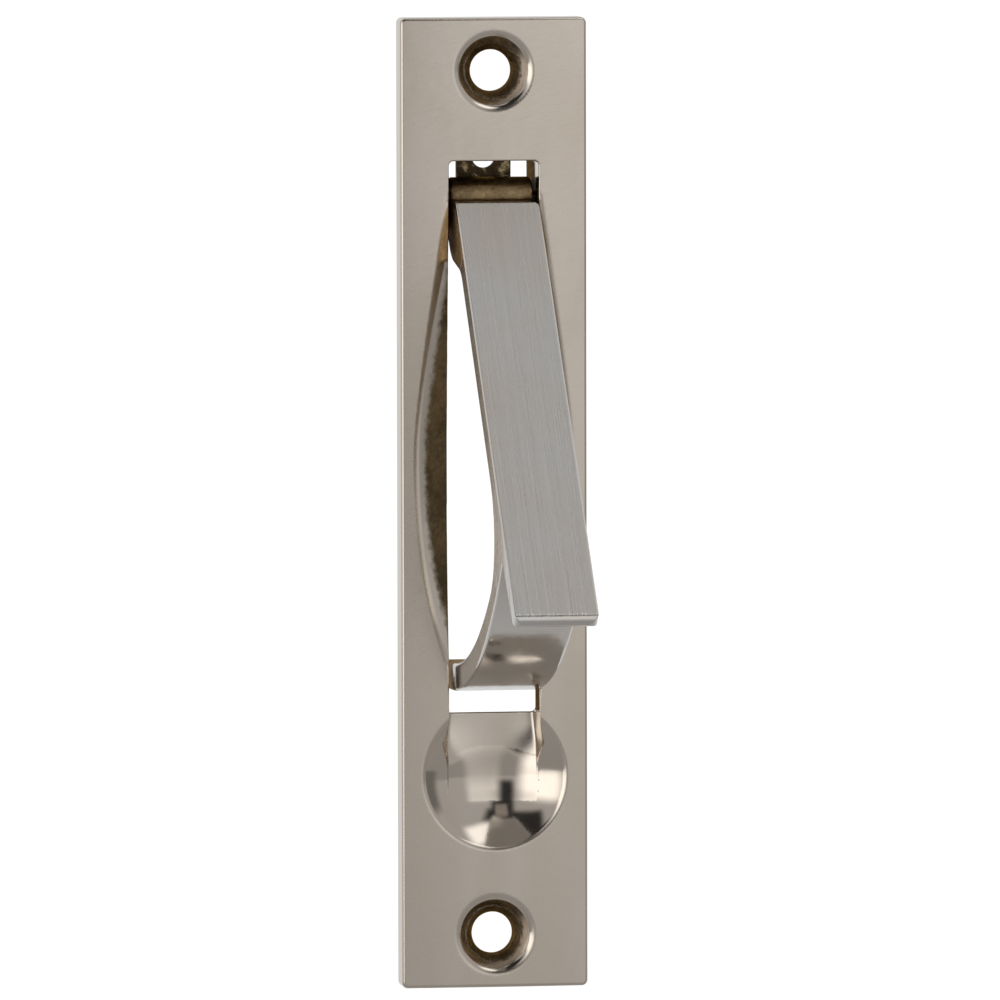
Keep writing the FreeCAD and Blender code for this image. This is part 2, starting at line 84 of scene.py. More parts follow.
LEVER_HALF, LEVER_SHIFT, OPEN_ANGLE = 4.25, 0.15, math.radians(44)
OPEN_SIN, OPEN_COS = math.sin(OPEN_ANGLE), math.cos(OPEN_ANGLE)
BAR_FRONT, BAR_THICK = FRONT - PIVOT_DEEP, 2.7
BAR_BACK = BAR_FRONT + BAR_THICK
BAR_START, BAR_END = -3.8, -58.6
SHELF = BAR_START * OPEN_COS - BAR_FRONT * OPEN_SIN
PLAN_HALF = 40
TIP_RADIUS, TIP_CORNER, TOP_CORNER = 0.9, 1.0, 0.7
TAPER_START, TAPER_BLEND = -51.44, 2.0
HUB_RADIUS, NOSE_FRONT = 2.6, 2.1
HOOK_INNER, HOOK_OUTER, HOOK_SWEEP = 46.7, 49.45, math.radians(48)
HOOK_END, HOOK_BLEND, HOOK_TIP_BLEND = 0.6, 8.0, 0.8
LOBE_BACK, LOBE_DROP, LOBE_ROUND, LOBE_FILLET, WEB_DROP = 2.3, -5.6, 0.9, 0.6, -10.8
BAR_EDGE, HOOK_EDGE, BAR_FRONT_EDGE, SHELF_EDGE = 0.2, 0.34, 0.1, 0.12
HUB_END, HUB_EDGE, HUB_FILLET, BORE_LIP = 0.3, 0.45, 0.5, 0.1


# ---------------------------------------------------------------- distance fields


def smooth(value, start, end):
    """0 below start, 1 above end, and smooth between."""
    t = np.clip((value - start) / (end - start), 0, 1)
    return t * t * (3 - 2 * t)


def ramp_up(value, spread):
    """0 where the value is well below 0, the value itself well above, and smooth between."""
    return (value + np.hypot(value, spread)) / 2


def soft_max(a, b, spread):
    """The larger of the two, running smoothly from one to the other where they differ by less than spread."""
    near = np.clip(0.5 + 0.5 * (a - b) / spread, 0, 1)
    return b + (a - b) * near + spread * near * (1 - near) * 0.5


def cut_round(a, b, r):
    """Where both fields are inside, with the edge between them rounded to radius r."""
    return np.minimum(-r, np.maximum(a, b)) + np.hypot(np.maximum(a + r, 0), np.maximum(b + r, 0))


def join_round(a, b, r):
    """Where either field is inside, with the corner between them filled to radius r."""
    return -cut_round(-a, -b, r)


def carve(a, b, r):
    """Field a with field b taken out, and a lip of radius r round the cut."""
    return cut_round(a, -b, r)


def rounded_box_2d(u, v, half_u, half_v, r):
    du, dv = np.abs(u) - half_u + r, np.abs(v) - half_v + r
    return np.minimum(np.maximum(du, dv), 0) + np.hypot(np.maximum(du, 0), np.maximum(dv, 0)) - r


def half_plane(y, z, ay, az, by, bz):
    """Distance from the line through a and b, negative on the right of the way from a to b."""
    length = math.hypot(by - ay, bz - az)
    return ((z - az) * (by - ay) - (y - ay) * (bz - az)) / length


def slanted(depth_at, x, y, z):
    """A field for a hollow of this depth under each point of the front."""
    step = 0.01
    depth = depth_at(x, z)
    slope_x = (depth_at(x + step, z) - depth) / step
    slope_z = (depth_at(x, z + step) - depth) / step
    return (y - FRONT - depth) / np.sqrt(1 + slope_x**2 + slope_z**2)


def ball_height(reach):
    """How high the dish's ball stands this far from its axis, and almost nothing beyond its side."""
    return np.sqrt(np.maximum(DISH_BALL**2 - reach * reach, 0.01))


def hollow_depth(x, z):
    """Depth of the finger dish, with the closed lever's tip seat running into its upper half.

    The seat is flat across at the slot, and curls to the dish's own curve at the dish's middle.
    """
    reach = np.hypot(x, z - DISH_HEIGHT)
    dish = DISH_DEEP - DISH_BALL + ball_height(reach)
    along = (SLOT_FOOT - z) / (SLOT_FOOT - DISH_HEIGHT)
    curl = smooth(along, 0, 1) * (DISH_BALL - ball_height(x))
    slope = SEAT_SLOPE + SEAT_STEEPER * (1 - smooth(along, -0.05, 0.75)) ** 3
    wall = slope * ramp_up(np.abs(x) - SEAT_HALF, SEAT_CORNER)
    seat = SEAT_DEEP - curl - wall - SEAT_RUNOUT * np.maximum(along - 1, 0) ** 2
    seat = np.where(z > 0, NO_SEAT, seat)
    return soft_max(dish, seat, SEAT_BLEND + SEAT_BLEND_MORE * smooth(along, 0, 0.5))


def dish_field(x, y, z):
    return slanted(hollow_depth, x, y, z)


def scoop_depth(x, z):
    """Depth of the boat-shaped scoop across the slot, which is fuller below its middle than above."""
    above = np.clip((z - SCOOP_MIDDLE) / (SCOOP_TOP - SCOOP_MIDDLE), 0, 1.5)
    below = np.clip((SCOOP_MIDDLE - z) / (SCOOP_MIDDLE - SCOOP_END), 0, 1.5)
    narrowing = np.hypot(above, SCOOP_PEAK) - SCOOP_PEAK + below**SCOOP_FULLNESS
    half = SCOOP_HALF - (SCOOP_HALF - SLOT_HALF) * narrowing
    past_end = smooth(np.maximum(above, below), SCOOP_CLOSED, SCOOP_GONE)
    inward = half - np.abs(x) - SCOOP_RUNOUT * past_end
    return SCOOP_SLOPE * inward - SCOOP_CURVE * np.maximum(inward, 0) ** 2


def scoop_field(x, y, z):
    return slanted(scoop_depth, x, y, z)


def hole_field(x, y, z):
    """Both countersunk mounting holes."""
    radius = np.hypot(x, np.abs(z) - HOLE_HEIGHT)
    cone = (radius - SINK_RADIUS + (y - FRONT) * math.tan(SINK_ANGLE)) * math.cos(SINK_ANGLE)
    return join_round(radius - HOLE_RADIUS, cone, HOLE_BLEND)


def crown(x, z):
    """How far the front falls away towards the plate's sides, most beside the middle of the slot."""
    beside_slot = smooth(CROWN_REACH - np.abs(z - SCOOP_MIDDLE), 0, CROWN_FADE)
    return x * x / (2 * CROWN_RADIUS) + CROWN_SIDE * (x / HALF_WIDTH) ** 4 * beside_slot


def plate_field(x, y, z):
    """The face plate casting."""
    outline = rounded_box_2d(x, z, HALF_WIDTH, HALF_HEIGHT, CORNER_ROUND)
    front = FRONT + crown(x, z) - y
    plate = cut_round(cut_round(outline, front, FRONT_ROUND), y, BACK_ROUND)
    inside_plate = FRONT / 2 - y
    boss_middle, boss_half = (BOSS_LOW + BOSS_HIGH) / 2, (BOSS_HIGH - BOSS_LOW) / 2
    boss = rounded_box_2d(x, z - boss_middle, BOSS_HALF, boss_half, BOSS_ROUND)
    boss = cut_round(cut_round(boss, y - BOSS_BACK, BOSS_EDGE), inside_plate, BURIED_EDGE)
    pad = cut_round(np.hypot(x, z - PAD_HEIGHT) - PAD_RADIUS, y - PAD_BACK, PAD_EDGE)
    pad = np.maximum(pad, inside_plate)
    body = join_round(join_round(plate, boss, BOSS_FILLET), pad, PAD_FILLET)

    body = carve(body, scoop_field(x, y, z), SCOOP_LIP)
    body = carve(body, dish_field(x, y, z), DISH_LIP)
    slot_middle, slot_half = (SLOT_TOP + SLOT_FOOT) / 2, (SLOT_TOP - SLOT_FOOT) / 2
    slot = rounded_box_2d(x, z - slot_middle, SLOT_HALF, slot_half, SLOT_ROUND)
    body = carve(body, slot, SLOT_LIP)
    body = carve(body, hole_field(x, y, z), HOLE_LIP)
    channel = np.maximum(np.maximum(np.abs(x) - SPRING_HALF, SPRING_FRONT - y), SPRING_ABOVE - z)
    body = carve(body, channel, CHANNEL_LIP)
    return carve(body, np.hypot(y - PIVOT_DEEP, z - PIVOT_HEIGHT) - PIN_RADIUS, PIN_LIP)


def bar_side(y, z, above_shelf):
    """Side view of the flat bar, its lobe and the hook: y is the depth, z the height."""
    lobe = half_plane(y, z, HUB_RADIUS, 0, LOBE_BACK, LOBE_DROP)
    lobe = cut_round(lobe, half_plane(y, z, LOBE_BACK, LOBE_DROP, BAR_BACK, WEB_DROP), LOBE_ROUND)

    radius = np.hypot(y, z)
    past_hook = y * math.cos(HOOK_SWEEP) + z * math.sin(HOOK_SWEEP)
    hook = cut_round(np.maximum(HOOK_INNER - radius, radius - HOOK_OUTER), past_hook, HOOK_END)
    taper = math.atan2(BAR_THICK - 2 * TIP_RADIUS, TAPER_START - BAR_END - TIP_RADIUS)
    under = (y - BAR_BACK) * math.cos(taper) - (z - TAPER_START) * math.sin(taper)
    upper = join_round(y - BAR_BACK, hook, HOOK_BLEND)
    lower = join_round(cut_round(y - BAR_BACK, under, TAPER_BLEND), hook, HOOK_TIP_BLEND)
    side = np.where(radius < (HOOK_INNER + HOOK_OUTER) / 2, upper, lower)

    side = join_round(side, lobe, LOBE_FILLET)
    side = cut_round(side, BAR_FRONT - y, BAR_FRONT_EDGE)
    side = cut_round(side, BAR_END - z, TIP_RADIUS)
    return cut_round(side, above_shelf, SHELF_EDGE)


def lever_field(x, y, z):
    """The closed lever, with crisp edges on the bar, worn ones on the hook, and its tip rounded in plan."""
    above_shelf = z * OPEN_COS - y * OPEN_SIN - SHELF
    edge = BAR_EDGE + (HOOK_EDGE - BAR_EDGE) * smooth(y, -1, 4)
    bar = cut_round(bar_side(y, z, above_shelf), np.abs(x) - LEVER_HALF, edge)
    bar = np.maximum(bar, rounded_box_2d(x, z - BAR_END - PLAN_HALF, LEVER_HALF, PLAN_HALF, TIP_CORNER))
    bar = np.maximum(bar, cut_round(x - LEVER_HALF, above_shelf, TOP_CORNER))
    hub = cut_round(np.hypot(y, z) - HUB_RADIUS, -NOSE_FRONT - (y * OPEN_COS + z * OPEN_SIN), HUB_END)
    hub = cut_round(hub, np.abs(x) - LEVER_HALF, HUB_EDGE)
    return carve(join_round(bar, hub, HUB_FILLET), np.hypot(y, z) - PIN_RADIUS - PIN_PLAY, BORE_LIP)


# ---------------------------------------------------------------- field to mesh


def steps(start, *stretches):
    """Grid lines from start, through stretches that are each (end, pitch)."""
    lines = [start]
    for end, pitch in stretches:
        count = max(1, round((end - lines[-1]) / pitch))
        lines += list(np.linspace(lines[-1], end, count + 1)[1:])
    return np.array(lines)


def mirrored(lines, skip=0):
    """Lines above 0, and the same lines below it. The first few above may be skipped."""
    return np.concatenate([-lines[::-1], lines[skip:]])


def slope_of(field, points, reach=1e-3):
    """The field's gradient at each point."""
    parts = []
    for axis in range(3):
        step = np.zeros(3)
        step[axis] = reach
        ahead, behind = points + step, points - step
        parts.append((field(*ahead.T) - field(*behind.T)) / (2 * reach))
    return np.stack(parts, 1)


CORNERS = [(i, j, k) for i in (0, 1) for j in (0, 1) for k in (0, 1)]
CELL_EDGES = [(a, b) for a in range(8) for b in range(a + 1, 8) if (a ^ b) in (1, 2, 4)]


def cell_points(grid, values, cells):
    """For each cell that the surface crosses, the middle of the crossings on its edges."""
    corner_points, corner_values = [], []
    for corner in CORNERS:
        at = cells + corner
        corner_points.append(np.stack([grid[axis][at[:, axis]] for axis in range(3)], 1))
        corner_values.append(values[tuple(at.T)])
    total, hits = np.zeros((len(cells), 3)), np.zeros(len(cells))
    for a, b in CELL_EDGES:
        fa, fb = corner_values[a], corner_values[b]
        crossed = (fa < 0) != (fb < 0)
        share = np.where(crossed, fa / np.where(crossed, fa - fb, 1), 0)[:, None]
        total += crossed[:, None] * (corner_points[a] + share * (corner_points[b] - corner_points[a]))
        hits += crossed
    return total / hits[:, None]


def settle(field, points, rounds=4, longest_move=0.1, least_steep=0.2):
    """The points moved onto the surface, a short way at a time, and the surface's normals there."""
    for _ in range(rounds):
        slope = slope_of(field, points)
        steep = np.maximum((slope**2).sum(1), least_steep)
        move = np.clip(field(*points.T) / steep, -longest_move, longest_move)
        points = points - slope * move[:, None]
    normals = slope_of(field, points)
    return points, normals / np.linalg.norm(normals, axis=1)[:, None]


def cell_quads(inside, number):
    """A quad round each grid edge that crosses the surface, through the points of its four cells."""
    quads = []
    for axis in range(3):
        other = [(axis + 1) % 3, (axis + 2) % 3]
        low = [slice(None)] * 3
        high = [slice(None)] * 3
        low[axis], high[axis] = slice(0, -1), slice(1, None)
        changes = np.argwhere(inside[tuple(low)] != inside[tuple(high)])
        keep = np.all([(changes[:, o] > 0) & (changes[:, o] < inside.shape[o] - 1) for o in other], axis=0)
        changes = changes[keep]
        ring = []
        for du, dv in ((-1, -1), (0, -1), (0, 0), (-1, 0)):
            at = changes.copy()
            at[:, other[0]] += du
            at[:, other[1]] += dv
            ring.append(number[tuple(at.T)])
        ring = np.stack(ring, 1)
        outward = inside[tuple(changes.T)]
        quads.append(np.where(outward[:, None], ring, ring[:, ::-1]))
    return np.concatenate(quads)


def field_mesh(name, field, grid):
    """An object whose quads lie where the field is zero, with its points and normals."""
    values = field(*np.meshgrid(*grid, indexing="ij", sparse=True))
    inside = values < 0
    shape = tuple(n - 1 for n in inside.shape)
    count = sum(
        inside[i:i + shape[0], j:j + shape[1], k:k + shape[2]].astype(np.int8) for i, j, k in CORNERS
    )
    cells = np.argwhere((count > 0) & (count < 8))
    number = np.full(shape, -1, np.int64)
    number[tuple(cells.T)] = np.arange(len(cells))
    points, normals = settle(field, cell_points(grid, values, cells))

    piece = mesh_object(name, points * MM, cell_quads(inside, number))
    piece.data.polygons.foreach_set("use_smooth", [True] * len(piece.data.polygons))
    piece.data.normals_split_custom_set_from_vertices(normals.tolist())
    return piece, points, normals


def mesh_object(name, points, faces):
    mesh = bpy.data.meshes.new(name)
    mesh.from_pydata(np.asarray(points).tolist(), [], np.asarray(faces).tolist())
    piece = bpy.data.objects.new(name, mesh)
    bpy.context.scene.collection.objects.link(piece)
    return piece


def mark(piece, name, values):
    """A value at each of the mesh's points, for its material to read."""
    attribute = piece.data.attributes.new(name, "FLOAT", "POINT")
    attribute.data.foreach_set("value", np.asarray(values, np.float32))


# ---------------------------------------------------------------- materials


class Nodes:
    """A short way to write a node tree."""

    def __init__(self, tree):
        self.tree = tree

    def add(self, kind, settings=None, **inputs):
        node = self.tree.nodes.new(kind)
        for key, value in (settings or {}).items():
            setattr(node, key, value)
        for key, value in inputs.items():
            self.put(node, key.replace("_", " "), value)
        return node

    def put(self, node, socket, value):
        """Joins a socket or sets a plain value. socket is a name, or a number written as text."""
        target = node.inputs[int(socket)] if socket.isdigit() else node.inputs[socket]
        if isinstance(value, bpy.types.NodeSocket):
            self.tree.links.new(value, target)
        elif isinstance(value, bpy.types.Node):
            self.tree.links.new(value.outputs[0], target)
        else:
            target.default_value = value

    def finish(self, shader):
        """Joins a shader to the material's output."""
        self.tree.links.new(shader.outputs[0], self.add("ShaderNodeOutputMaterial").inputs["Surface"])

    def math(self, operation, a, b=0.0):
        node = self.add("ShaderNodeMath", {"operation": operation})
        self.put(node, "0", a)
        self.put(node, "1", b)
        return node.outputs[0]

    def remap(self, value, low, high, to_low=0.0, to_high=1.0):
        node = self.add("ShaderNodeMapRange", {"interpolation_type": "SMOOTHSTEP"}, Value=value)
        ends = {"From Min": low, "From Max": high, "To Min": to_low, "To Max": to_high}
        for socket, number in ends.items():
            node.inputs[socket].default_value = number
        return node.outputs[0]

    def mix(self, factor, a, b):
        """Between two colours."""
        node = self.add("ShaderNodeMix", {"data_type": "RGBA"})
        self.put(node, "0", factor)
        self.put(node, "6", a)
        self.put(node, "7", b)
        return node.outputs[2]

    def blend(self, factor, a, b):
        """Between two numbers."""
        node = self.add("ShaderNodeMix", {"data_type": "FLOAT"})
        self.put(node, "0", factor)
        self.put(node, "2", a)
        self.put(node, "3", b)
        return node.outputs[0]

    def noise(self, vector, scale, detail=3.0, roughness=0.5, distortion=0.0):
        """Noise between 0 and 1. scale is in features to the metre."""
        node = self.add("ShaderNodeTexNoise", Vector=vector)
        values = {"Scale": scale, "Detail": detail, "Roughness": roughness, "Distortion": distortion}
        for socket, number in values.items():
            node.inputs[socket].default_value = number
        return node.outputs[0]

    def place(self, vector, rotation=(0, 0, 0), scale=(1, 1, 1)):
        node = self.add("ShaderNodeMapping", Vector=vector)
        node.inputs["Rotation"].default_value = rotation
        node.inputs["Scale"].default_value = scale
        return node.outputs[0]

    def bump(self, height, distance, normal=None):
        """Bends the surface by a height, which stands for this distance in metres at 1."""
        node = self.add("ShaderNodeBump", Height=height)
        node.inputs["Distance"].default_value = distance
        if normal is not None:
            self.put(node, "Normal", normal)
        return node.outputs[0]

    def attribute(self, name):
        return self.add("ShaderNodeAttribute", {"attribute_name": name}).outputs["Fac"]


def new_material(name):
    material = bpy.data.materials.new(name)
    material.use_nodes = True
    nodes = Nodes(material.node_tree)
    shader = material.node_tree.nodes["Principled BSDF"]
    shader.inputs["Metallic"].default_value = 1.0
    where = nodes.add("ShaderNodeTexCoord").outputs["Object"]
    return material, nodes, shader, where


PLATE_NICKEL = (0.63, 0.555, 0.475, 1), (0.67, 0.60, 0.525, 1)
LEVER_NICKEL = (0.66, 0.61, 0.555, 1), (0.66, 0.64, 0.615, 1)
PLATE_RAW = (0.10, 0.07, 0.036, 1), (0.235, 0.16, 0.08, 1)
LEVER_RAW = (0.22, 0.15, 0.08, 1), (0.55, 0.40, 0.22, 1)
TARNISH, CLEAN_BRASS = (0.07, 0.047, 0.025, 1), (0.55, 0.43, 0.23, 1)
STEEL_DARK, STEEL_LIGHT = (0.42, 0.42, 0.42, 1), (0.6, 0.59, 0.58, 1)
BRIGHT_EDGE, DULL_EDGE = (1, 1, 1, 1), (0.40, 0.32, 0.22, 1)
FINE_RELIEF, RAW_RELIEF = 0.000014, 0.00008
BRUSH_RELIEF, RIPPLE_RELIEF = 0.000025, 0.00003
BRASS_RELIEF, STEEL_RELIEF = 0.00005, 0.00001


def nickel_over_brass(nodes, shader, where, nickel, raw_tones):
    """Colours the surface nickel, or dull raw casting where the mesh is marked raw.

    The edge between them is ragged. Gives back how raw each point is, and the raw casting's roughness
    and height.
    """
    blotch = nodes.noise(where, 260, detail=6, roughness=0.62, distortion=0.3)
    fine = nodes.noise(where, 2300, detail=4, roughness=0.6)
    tone = nodes.math("ADD", nodes.math("MULTIPLY", blotch, 0.7), nodes.math("MULTIPLY", fine, 0.3))
    raw_colour = nodes.mix(nodes.remap(tone, 0.34, 0.72), *raw_tones)
    raw_rough = nodes.remap(nodes.noise(where, 1900, detail=3), 0.3, 0.7, to_low=0.28, to_high=0.46)
    height = nodes.math("ADD", fine, nodes.math("MULTIPLY", blotch, 0.7))
    raw_height = nodes.math("SUBTRACT", height, 0.85)

    marked = nodes.attribute("raw")
    nibble = nodes.remap(nodes.noise(where, 1500, detail=4), 0.3, 0.75, to_low=-0.14, to_high=0.14)
    ragged = nodes.math("ADD", marked, nibble)
    raw = nodes.math("MULTIPLY", nodes.remap(ragged, 0.1, 0.9), nodes.remap(marked, 0.0, 0.3))
    nodes.put(shader, "Base Color", nodes.mix(raw, nickel, raw_colour))
    nodes.put(shader, "Specular Tint", nodes.mix(raw, BRIGHT_EDGE, DULL_EDGE))
    return raw, raw_rough, raw_height


def plate_material():
    """Satin nickel with faint hand-polishing marks in front, and raw brass tone in the recesses."""
    material, nodes, shader, where = new_material("satin_nickel")
    drift = nodes.noise(nodes.place(where, scale=(1.6, 1, 0.5)), 90, detail=3, roughness=0.5, distortion=0.5)
    nickel = nodes.mix(nodes.remap(drift, 0.35, 0.65), *PLATE_NICKEL)
    raw, raw_rough, raw_height = nickel_over_brass(nodes, shader, where, nickel, PLATE_RAW)

    turned = nodes.place(where, (0, math.radians(20), 0))
    strokes = nodes.place(turned, scale=(0.35, 1, 2.6))
    marks = nodes.noise(strokes, 800, detail=4, roughness=0.6, distortion=2.6)
    satin = nodes.remap(marks, 0.3, 0.7, to_low=0.235, to_high=0.275)
    polished = nodes.remap(marks, 0.3, 0.7, to_low=0.085, to_high=0.11)
    plated = nodes.blend(nodes.attribute("gloss"), satin, polished)
    nodes.put(shader, "Roughness", nodes.blend(raw, plated, raw_rough))

    ripple = nodes.noise(where, 210, detail=2, roughness=0.5, distortion=0.5)
    polish = nodes.bump(nodes.math("ADD", ripple, nodes.math("MULTIPLY", marks, 0.1)), FINE_RELIEF)
    nodes.put(shader, "Normal", nodes.bump(nodes.math("MULTIPLY", raw_height, raw), RAW_RELIEF, polish))
    return material


def lever_material():
    """Nickel brushed along the bar, polished on the hook, and raw brass tone on the hub."""
    material, nodes, shader, where = new_material("brushed_nickel")
    brushed = nodes.attribute("brushed")
    drift = nodes.noise(where, 90, detail=2, roughness=0.5, distortion=0.3)
    nickel = nodes.mix(nodes.remap(drift, 0.35, 0.65), *LEVER_NICKEL)
    raw, raw_rough, raw_height = nickel_over_brass(nodes, shader, where, nickel, LEVER_RAW)

    along_bar = nodes.place(nodes.place(where, (OPEN_ANGLE, 0, 0)), scale=(1, 1, 0.018))
    grain = nodes.noise(along_bar, 4200, detail=4, roughness=0.7)
    broad = nodes.noise(along_bar, 1100, detail=2, roughness=0.5)
    satin = nodes.remap(grain, 0.25, 0.75, to_low=0.24, to_high=0.38)
    polished = nodes.remap(broad, 0.3, 0.7, to_low=0.10, to_high=0.15)
    nodes.put(shader, "Roughness", nodes.blend(raw, nodes.blend(brushed, polished, satin), raw_rough))

    brush = nodes.bump(nodes.math("MULTIPLY", nodes.math("ADD", grain, broad), brushed), BRUSH_RELIEF)
    ripple = nodes.bump(nodes.noise(where, 240, detail=2), RIPPLE_RELIEF, brush)
    nodes.put(shader, "Normal", nodes.bump(nodes.math("MULTIPLY", raw_height, raw), RAW_RELIEF, ripple))
    return material


def raw_brass_material(name, bright):
    """Unplated brass, tarnished in patches. bright is how much of it is clean."""
    material, nodes, shader, where = new_material(name)
    blotch = nodes.noise(where, 800, detail=5, roughness=0.6, distortion=0.3)
    clean = nodes.remap(blotch, 0.62 - bright, 0.82 - bright)
    nodes.put(shader, "Base Color", nodes.mix(clean, TARNISH, CLEAN_BRASS))
    nodes.put(shader, "Roughness", nodes.remap(blotch, 0.3, 0.7, to_low=0.42, to_high=0.24))
    nodes.put(shader, "Normal", nodes.bump(nodes.noise(where, 2400, detail=4, roughness=0.6), BRASS_RELIEF))
    return material


def steel_material():
    """Ground steel with turning marks round the pin."""
    material, nodes, shader, where = new_material("ground_steel")
    rings = nodes.noise(nodes.place(where, scale=(1, 0.02, 0.02)), 9000, detail=2)
    nodes.put(shader, "Base Color", nodes.mix(rings, STEEL_DARK, STEEL_LIGHT))
    nodes.put(shader, "Roughness", nodes.remap(rings, 0.3, 0.7, to_low=0.22, to_high=0.36))
    nodes.put(shader, "Normal", nodes.bump(rings, STEEL_RELIEF))
    return material


def dress(piece, material):
    piece.data.materials.clear()
    piece.data.materials.append(material)


# ---------------------------------------------------------------- pieces

# Grid lines for each piece, closer together where its surface turns sharply. Pitches are in millimetres.
PLATE_GRID = (
    mirrored(steps(0.1, (3.9, 0.22), (5.1, 0.1), (8.7, 0.2), (9.8, 0.08))),
    steps(-3.5, (-2.4, 0.09), (-0.4, 0.25), (0.3, 0.1), (4.6, 0.36), (5.45, 0.12)),
    steps(
        -49.5, (-48.5, 0.09), (-39.2, 0.2), (-36, 0.8), (-20.6, 0.17), (24.6, 0.42), (33.8, 0.26),
        (35.3, 0.12), (39.2, 0.3), (48.5, 0.2), (49.5, 0.09),
    ),
)
LEVER_GRID = (
    mirrored(steps(0.2, (3.5, 0.55), (4.4, 0.1)), skip=1),
    steps(-4.65, (-3.9, 0.09), (-2.1, 0.2), (4, 0.22), (38.2, 0.3)),
    steps(-58.9, (-57, 0.12), (-47, 0.2), (-11.5, 0.34), (-2.9, 0.22), (2.8, 0.2)),
)


# Where each finish sets in and is complete: how deep below the plate's front, or where on the closed lever.
BACK_RAW, SINK_RAW, SCOOP_RAW, WALL_RAW = (3.0, 3.25), (0.6, 1.5), (0.15, 0.95), (0.9, 3.0)
WALL_RAW_LOW, WALL_RAW_HIGH, WALL_SHARE = (0.2, 0.9), (1.7, 3.0), 0.75
LOW_WALL, HIGH_WALL = (-6, -14), (16, 24)
DISH_GLOSS, LIP_GLOSS, SATIN_SEAT, SATIN_SHARE = (0, 0.3), (0.03, 0.2), (0.8, 3.5), 0.7
HUB_RAW, HOOK_RAW, HOOK_SHARE, UNDER_RAW, UNDER_SHARE = (-12, -9), (29.5, 31.5), 0.8, (-50, -48), 0.7


def plate_marks(x, y, z):
    """How raw and how glossy the plate is at each point."""
    depth = y - FRONT
    in_slot = (np.abs(x) < SLOT_HALF + 0.2) & (z > SLOT_FOOT - 0.3) & (z < SLOT_TOP + 0.3)
    low, high = smooth(z, *LOW_WALL), smooth(z, *HIGH_WALL)
    start, full = (
        middle + (at_low - middle) * low + (at_high - middle) * high
        for middle, at_low, at_high in zip(WALL_RAW, WALL_RAW_LOW, WALL_RAW_HIGH)
    )
    wall = smooth(depth, start, full) * (WALL_SHARE + (1 - WALL_SHARE) * low)
    in_sink = np.hypot(x, np.abs(z) - HOLE_HEIGHT) < SINK_RADIUS + 0.4
    in_scoop = (scoop_depth(x, z) > 0) & (z > SLOT_FOOT)
    in_dish = (dish_field(x, y, z) < 0.15) & (z < SLOT_FOOT + 0.2) & (y < -0.05)
    raw = [smooth(depth, *BACK_RAW), wall * in_slot]
    raw += [smooth(depth, *SINK_RAW) * in_sink, smooth(depth, *SCOOP_RAW) * in_scoop]

    mirror = smooth(depth, *DISH_GLOSS) * (1 - SATIN_SHARE * smooth(z - DISH_HEIGHT, *SATIN_SEAT))
    lip = smooth(depth - crown(x, z), *LIP_GLOSS)
    return np.maximum.reduce(raw) * ~in_dish, np.where(in_dish, mirror, lip)


def lever_marks(y, z, normals):
    """How raw and how brushed the lever is at each point."""
    front = smooth(-normals[:, 1], 0.85, 0.98) * (y < BAR_FRONT + 0.3)
    hub_area = smooth(z, *HUB_RAW) * (1 - front) * smooth(y - BAR_FRONT, 0.4, 1.4)
    above_shelf = smooth(z * OPEN_COS - y * OPEN_SIN - SHELF, -0.1, 0.2)
    facing_back = smooth(normals[:, 1], 0.5, 0.95)
    under_bar = UNDER_SHARE * facing_back * (y < BAR_BACK + 0.4) * smooth(z, *UNDER_RAW)
    hook_end = HOOK_SHARE * smooth(y, *HOOK_RAW)
    return np.maximum.reduce([hub_area, above_shelf, under_bar, hook_end]), front


def make_plate():
    piece, points, normals = field_mesh("plate_casting", plate_field, PLATE_GRID)
    raw, gloss = plate_marks(*points.T)
    mark(piece, "raw", raw)
    mark(piece, "gloss", gloss)
    dress(piece, plate_material())
    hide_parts("face_plate")
    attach(piece, "mount_plate")


def make_lever():
    piece, points, normals = field_mesh("lever_casting", lever_field, LEVER_GRID)
    raw, brushed = lever_marks(points[:, 1], points[:, 2], normals)
    mark(piece, "raw", raw)
    mark(piece, "brushed", brushed)
    dress(piece, lever_material())
    opened = Matrix.Rotation(-OPEN_ANGLE, 4, "X")
    pivot = Matrix.Translation(Vector((LEVER_SHIFT, PIVOT_DEEP, PIVOT_HEIGHT)) * MM)
    piece.data.transform(pivot @ opened)
    turned = normals @ np.array(opened.to_3x3()).T
    piece.data.normals_split_custom_set_from_vertices(turned.tolist())
    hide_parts("pull_lever")
    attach(piece, "pull")


BEVEL_WIDTH, BEVEL_ABOVE = 0.06, math.radians(40)


def dress_cad():
    """The pin, spring and screw keep their CAD shapes, with small bevels and their own metals."""
    finishes = {
        "pivot_pin": steel_material(),
        "leaf_spring": raw_brass_material("spring_brass", 0.12),
        "spring_screw": raw_brass_material("screw_brass", 0.3),
    }
    for node, material in finishes.items():
        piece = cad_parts[node]
        dress(piece, material)
        bevel = piece.modifiers.new("edges", "BEVEL")
        bevel.width = BEVEL_WIDTH * MM
        bevel.segments = 2
        bevel.limit_method = "ANGLE"
        bevel.angle_limit = BEVEL_ABOVE
        bevel.harden_normals = True


# ---------------------------------------------------------------- studio, in metres

